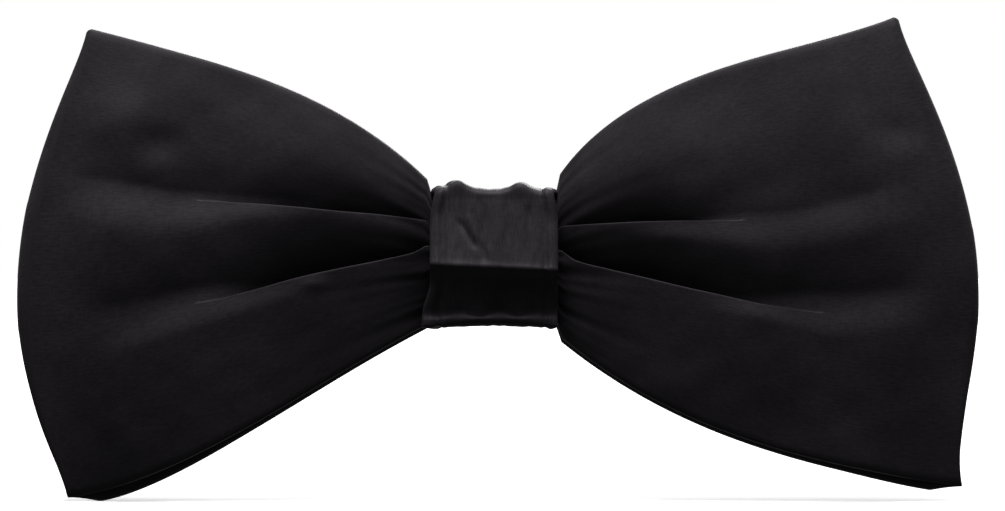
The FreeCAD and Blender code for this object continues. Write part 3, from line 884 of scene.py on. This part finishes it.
def band_hook_line():
    """From under the slider round the other side to the middle of the front."""
    run = around(RUN_OUTSIDE, np.arange(SLIDER_ANGLE - 1, RUN_START, STEP_DEGREES))
    # the band steps in from the slider's run to the neck
    count, step_end = 8, RUN_START + 12
    step = around(eased(RUN_OUTSIDE, OUTSIDE, count), np.linspace(RUN_START, step_end, count))
    side_end = 270 - leaving_angle() - 1
    side = around(OUTSIDE, np.arange(step_end + STEP_DEGREES, side_end, STEP_DEGREES))
    front = front_run()[::-1] * (-1, 1)
    return np.concatenate([run, step, side, front])


def make_band():
    """The neck band in pieces, each a strap along its own line."""
    turn_start = HOOK_ANGLE + 0.6
    under = around(RUN_OUTSIDE, np.linspace(PLY_END, SLIDER_ANGLE - 1, 12))
    inner = around(RUN_OUTSIDE, np.linspace(PLY_END, turn_start, 6))
    turn = around(BAR_TURN, np.linspace(HOOK_ANGLE - 180, HOOK_ANGLE, 15), HOOK_BAR)
    back = around(RETURN_RADIUS, np.linspace(turn_start, PLY_END, 6))
    # listed from the outer ply to the inner one, so that the outer face stays outside
    turned = np.concatenate([inner, turn, back])[::-1]
    # out along the slider's outer side, round its bar, and back to where the end is sewn
    return_outside = RETURN_RADIUS + BAND_THICK
    bar_angle = SLIDER_ANGLE + 0.9
    bar_centre = around((SEWN_RADIUS + return_outside) / 2, bar_angle)
    run = around(return_outside, np.linspace(PLY_END, bar_angle, 14))
    half_turn = np.linspace(bar_angle, bar_angle + 180, 13)[1:]
    bend = around((return_outside - SEWN_RADIUS) / 2, half_turn, bar_centre)
    sewn = around(SEWN_RADIUS, np.linspace(bar_angle, SLIDER_ANGLE - 3.5, 5)[1:])
    lines = {
        "band_ring_side": band_ring_line(),
        "band_slide_side": band_hook_line(),
        "band_under_slider": under,
        "band_hook_turn": turned,
        "band_return": np.concatenate([run, bend, sewn]),
    }
    return {name: strap(name, line) for name, line in lines.items()}


def stitch_column(name, radius, degrees, rows=2):
    """Upright rows of machine stitches on the outside of the band."""
    pitch, length, thread_radius, row_degrees = 1.5, 1.1, 0.13, 1.4
    count = int(2 * (BAND_HALF_HEIGHT - 1) / pitch)
    share = np.linspace(-1, 1, 7)
    bowed = radius + 0.02 + 0.11 * (1 - share**2)
    paths = []
    for row in range(rows):
        xy = around(bowed, np.full(len(share), degrees + row * row_degrees))
        for i in range(count):
            z = (i - (count - 1) / 2) * pitch + length / 2 * share
            paths.append(np.concatenate([xy, z[:, None]], 1))
    return tube(name, paths, thread_radius)


# ---- materials ----


def new_material(name):
    material = bpy.data.materials.new(name)
    material.use_nodes = True
    tree = material.node_tree
    tree.nodes.clear()
    output = tree.nodes.new("ShaderNodeOutputMaterial")
    shader = tree.nodes.new("ShaderNodeBsdfPrincipled")
    tree.links.new(shader.outputs["BSDF"], output.inputs["Surface"])
    return material, tree, shader


def feed(tree, made, values):
    """Links or sets a node's inputs, each given by its name or number."""
    for key, value in values.items():
        if isinstance(value, bpy.types.NodeSocket):
            tree.links.new(value, made.inputs[key])
        else:
            made.inputs[key].default_value = value


def node(tree, kind, **values):
    """A new node. A value whose name is no input's is a setting of the node itself."""
    made = tree.nodes.new(kind)
    for key, value in values.items():
        if key in made.inputs:
            feed(tree, made, {key: value})
        else:
            setattr(made, key, value)
    return made


def stretched_noise(tree, source, stretch, scale, detail):
    mapping = node(tree, "ShaderNodeMapping", Scale=stretch, Vector=source)
    place = mapping.outputs["Vector"]
    return node(tree, "ShaderNodeTexNoise", Scale=scale, Detail=detail, Vector=place).outputs["Fac"]


def ranged(tree, source, low, high, to_low, to_high):
    made = node(tree, "ShaderNodeMapRange", Value=source)
    feed(tree, made, {"From Min": low, "From Max": high, "To Min": to_low, "To Max": to_high})
    return made.outputs["Result"]


def mixed_colour(tree, share, dark, light):
    """dark where share is 0 and light where it is 1: each a plain colour, or another node's."""
    made = node(tree, "ShaderNodeMix", data_type="RGBA")
    dark, light = ((*c, 1) if isinstance(c, tuple) else c for c in (dark, light))
    feed(tree, made, {0: share, 6: dark, 7: light})
    return made.outputs[2]


def maths(tree, operation, first, second):
    made = node(tree, "ShaderNodeMath", operation=operation)
    feed(tree, made, {0: first, 1: second})
    return made.outputs[0]


def bumped(tree, height, strength, deep_mm):
    made = node(tree, "ShaderNodeBump", Strength=strength, Distance=deep_mm * MM, Height=height)
    return made.outputs["Normal"]


def lint_specks(tree, uv):
    """A few tiny pale specks: small spots in a few cells of a coarse pattern."""
    cells_per_m, spot_radius, bare_share = 170.0, 0.035, 0.93
    cells = node(tree, "ShaderNodeTexVoronoi", Scale=cells_per_m, Vector=uv)
    spot = maths(tree, "LESS_THAN", cells.outputs["Distance"], spot_radius)
    parts = node(tree, "ShaderNodeSeparateColor", Color=cells.outputs["Color"])
    few = maths(tree, "GREATER_THAN", parts.outputs[0], bare_share)
    return maths(tree, "MULTIPLY", spot, few)


def black_cloth(name, dark, light, pitch_mm, roughness, specular, sheen):
    """Black woven cloth: long floats along the strip, uneven threads, cloudy dye and a little lint."""
    material, tree, shader = new_material(name)
    uv = node(tree, "ShaderNodeUVMap", uv_map="cloth").outputs["UV"]
    threads_per_m = 1000 / pitch_mm
    floats = stretched_noise(tree, uv, (0.2, 1.0, 1.0), threads_per_m, 3.0)
    crossing = stretched_noise(tree, uv, (1.0, 0.3, 1.0), threads_per_m * 0.7, 2.0)
    along_share = maths(tree, "MULTIPLY", floats, 0.7)
    across_share = maths(tree, "MULTIPLY", crossing, 0.3)
    weave = maths(tree, "ADD", along_share, across_share)
    cloudy = stretched_noise(tree, uv, (1.0, 1.6, 1.0), 80.0, 4.0)
    tone = mixed_colour(tree, ranged(tree, weave, 0.32, 0.68, 0.0, 1.0), dark, light)
    clouds = ranged(tree, cloudy, 0.25, 0.75, 0.72, 1.28)
    shade = node(tree, "ShaderNodeVectorMath", operation="SCALE", Scale=clouds)
    feed(tree, shade, {0: tone})
    lint_colour = (0.16, 0.155, 0.155)
    feed(tree, shader, {
        "Base Color": mixed_colour(tree, lint_specks(tree, uv), shade.outputs["Vector"], lint_colour),
        "Roughness": ranged(tree, weave, 0.3, 0.7, roughness - 0.07, roughness + 0.07),
        "Normal": bumped(tree, weave, 0.4, 0.03),
        "Specular IOR Level": specular,
        "Sheen Weight": sheen,
        "Sheen Roughness": 0.4,
        "Sheen Tint": (0.5, 0.46, 0.52, 1),
    })
    return material


def interlining_cloth():
    material, tree, shader = new_material("interlining_cotton")
    place = node(tree, "ShaderNodeTexCoord").outputs["Object"]
    fibres = stretched_noise(tree, place, (0.5, 1.0, 1.0), 1800.0, 4.0)
    feed(tree, shader, {
        "Base Color": mixed_colour(tree, fibres, (0.50, 0.48, 0.43), (0.72, 0.70, 0.64)),
        "Roughness": 0.9,
        "Normal": bumped(tree, fibres, 0.5, 0.05),
    })
    return material


def sewing_thread():
    material, tree, shader = new_material("black_thread")
    place = node(tree, "ShaderNodeTexCoord").outputs["Object"]
    twist = node(tree, "ShaderNodeTexWave", Scale=900.0, Distortion=1.5, Vector=place).outputs["Fac"]
    feed(tree, shader, {
        "Base Color": mixed_colour(tree, twist, (0.010, 0.010, 0.011), (0.035, 0.034, 0.037)),
        "Roughness": 0.45,
        "Normal": bumped(tree, twist, 0.5, 0.04),
        "Specular IOR Level": 0.35,
    })
    return material


def satin_nickel():
    """Plated wire and sheet: fine brushing, with darker patches where it has been handled."""
    material, tree, shader = new_material("satin_nickel")
    place = node(tree, "ShaderNodeTexCoord").outputs["Object"]
    brushing = stretched_noise(tree, place, (1.0, 1.0, 0.06), 9000.0, 2.0)
    wear = stretched_noise(tree, place, (1.0, 1.0, 1.0), 420.0, 5.0)
    feed(tree, shader, {
        "Base Color": mixed_colour(tree, wear, (0.40, 0.39, 0.375), (0.50, 0.49, 0.47)),
        "Roughness": ranged(tree, brushing, 0.3, 0.7, 0.30, 0.42),
        "Normal": bumped(tree, brushing, 0.15, 0.008),
        "Metallic": 1.0,
    })
    return material


def wear_material(piece, material):
    piece.data.materials.clear()
    piece.data.materials.append(material)


# ---- light, floor and camera ----

KEY_STRENGTH = 10.0
BACK_STRENGTH = 6.0
AMBIENT = 0.09  # how brightly the white surround lights the part
GLOSSY_AMBIENT = 0.4  # and how brightly the part mirrors it
FLOOR_GLOW = 0.45


def make_floor(low, high):
    """A pale floor, just under the part. It is left out of the bounces of light, so the black cloth
    keeps its depth, and it shines a little itself, so it stays pale under light from high up."""
    centre = (low + high) / 2
    reach = 4.0
    mesh = bpy.data.meshes.new("floor")
    corners = [(-reach, -reach), (reach, -reach), (reach, reach), (-reach, reach)]
    mesh.from_pydata([(centre.x + x, centre.y + y, low.z) for x, y in corners], [], [(0, 1, 2, 3)])
    floor = add_to_scene("floor", mesh)
    material, tree, shader = new_material("studio_floor")
    feed(tree, shader, {
        "Base Color": (0.3, 0.3, 0.3, 1),
        "Roughness": 0.9,
        "Specular IOR Level": 0.0,
        "Emission Color": (1, 1, 1, 1),
        "Emission Strength": FLOOR_GLOW,
    })
    mesh.materials.append(material)
    floor.visible_diffuse = False
    floor.visible_glossy = False


def sun(name, towards, strength, spread_degrees):
    """Soft light that travels in the given direction."""
    data = bpy.data.lights.new(name, "SUN")
    data.energy = strength
    data.angle = math.radians(spread_degrees)
    light = add_to_scene(name, data)
    light.rotation_mode = "QUATERNION"
    light.rotation_quaternion = Vector(towards).to_track_quat("-Z", "Y")


def white_surround(tree, strength):
    return node(tree, "ShaderNodeBackground", Color=(1, 1, 1, 1), Strength=strength).outputs[0]


def make_studio():
    """A white surround that lights the cloth only dimly, and two soft lights from high up."""
    world = bpy.data.worlds.new("studio")
    world.use_nodes = True
    tree = world.node_tree
    tree.nodes.clear()
    output = tree.nodes.new("ShaderNodeOutputWorld")
    path = tree.nodes.new("ShaderNodeLightPath")
    surround = white_surround(tree, AMBIENT)
    for ray, strength in (("Is Glossy Ray", GLOSSY_AMBIENT), ("Is Camera Ray", 1.0)):
        choice = tree.nodes.new("ShaderNodeMixShader")
        feed(tree, choice, {0: path.outputs[ray], 1: surround, 2: white_surround(tree, strength)})
        surround = choice.outputs[0]
    feed(tree, output, {"Surface": surround})
    bpy.context.scene.world = world
    bpy.context.scene.view_settings.view_transform = "Standard"
    sun("key", (0.04, 0.22, -0.97), KEY_STRENGTH, 35)
    sun("back", (-0.2, -0.75, -0.65), BACK_STRENGTH, 45)


def make_camera():
    """Straight on from the front, framed as a close view of the bow."""
    data = bpy.data.cameras.new("camera")
    data.lens = 120
    data.sensor_width = 36
    camera = add_to_scene("camera", data)
    bow_width = 2 * HALF_WIDTH * MM
    margin, right, up = 1.047, 0.0088, 0.0016  # shares of the bow's width
    distance = margin * bow_width * data.lens / data.sensor_width
    camera.location = (right * bow_width, FOLD_Y * MM - distance, up * bow_width)
    camera.rotation_euler = (math.pi / 2, 0, 0)
    bpy.context.scene.camera = camera


# ---- putting it together ----


sateen = black_cloth(
    "black_sateen", (0.0086, 0.0075, 0.0088), (0.0158, 0.0139, 0.0160),
    pitch_mm=0.24, roughness=0.55, specular=0.05, sheen=0.01,
)
satin = black_cloth(
    "black_satin", (0.0075, 0.0074, 0.0082), (0.0170, 0.0166, 0.0180),
    pitch_mm=0.20, roughness=0.40, specular=0.12, sheen=0.01,
)
stiffening = interlining_cloth()
thread = sewing_thread()
nickel = satin_nickel()


def finish_piece(piece, body, slot, material, *replaced):
    wear_material(piece, material)
    if replaced:
        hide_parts(*replaced)
    if body:
        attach(piece, body)


# the strip is cut narrower where the knot gathers it
bow, bow_length, bow_wide = make_bow()
finish_piece(bow, "bow", "bow_cloth", sateen, "bow_face_cloth", "bow_interlining", "bow_lining_cloth")

wrap, wrap_lining, wrap_length, lining_wide = make_wrap()
finish_piece(wrap, "bow", "bow_cloth", sateen, "centre_wrap_cloth")
finish_piece(wrap_lining, "bow", "interlining", stiffening, "centre_wrap_interlining")
finish_piece(make_waist_thread(), "bow", "thread", thread, "waist_thread")
finish_piece(make_wrap_stitches(), "bow", "thread", thread, "centre_wrap_seam")

band = make_band()
BAND_NODES = {
    "band_ring_side": ["neck_band_ring_side", "neck_band_front"],
    "band_slide_side": ["neck_band_hook_side"],
    "band_under_slider": [],
    "band_hook_turn": ["neck_band_turn"],
    "band_return": ["neck_band_return"],
}
for name, (piece, length) in band.items():
    body = "hook_carrier" if name == "band_hook_turn" else None
    finish_piece(piece, body, "band_cloth", satin, *BAND_NODES[name])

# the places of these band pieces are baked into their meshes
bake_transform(band["band_ring_side"][0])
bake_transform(band["band_slide_side"][0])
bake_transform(band["band_under_slider"][0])
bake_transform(band["band_return"][0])

tab_outside = OUTSIDE + BAND_THICK + 0.05
tab_stitches = stitch_column("ring_tab_stitches", tab_outside, RING_ANGLE - 8.6)
finish_piece(tab_stitches, "ring_band", "thread", thread, "ring_end_stitches")
slide_stitches = stitch_column("slider_tab_stitches", RETURN_RADIUS + BAND_THICK, SLIDER_ANGLE - 3.0, 1)
finish_piece(slide_stitches, "slider", "thread", thread, "slider_end_stitches")

for name, cad_piece in frame["nodes"].items():
    if name in ("ring", "slider", "hook"):
        wear_material(cad_piece, nickel)
    elif "stitches" in name or "thread" in name or "seam" in name:
        wear_material(cad_piece, thread)
    elif "interlining" in name:
        wear_material(cad_piece, stiffening)
    else:
        wear_material(cad_piece, satin)

make_floor(*cad_box)
make_studio()
make_camera()

bpy.context.view_layer.update()
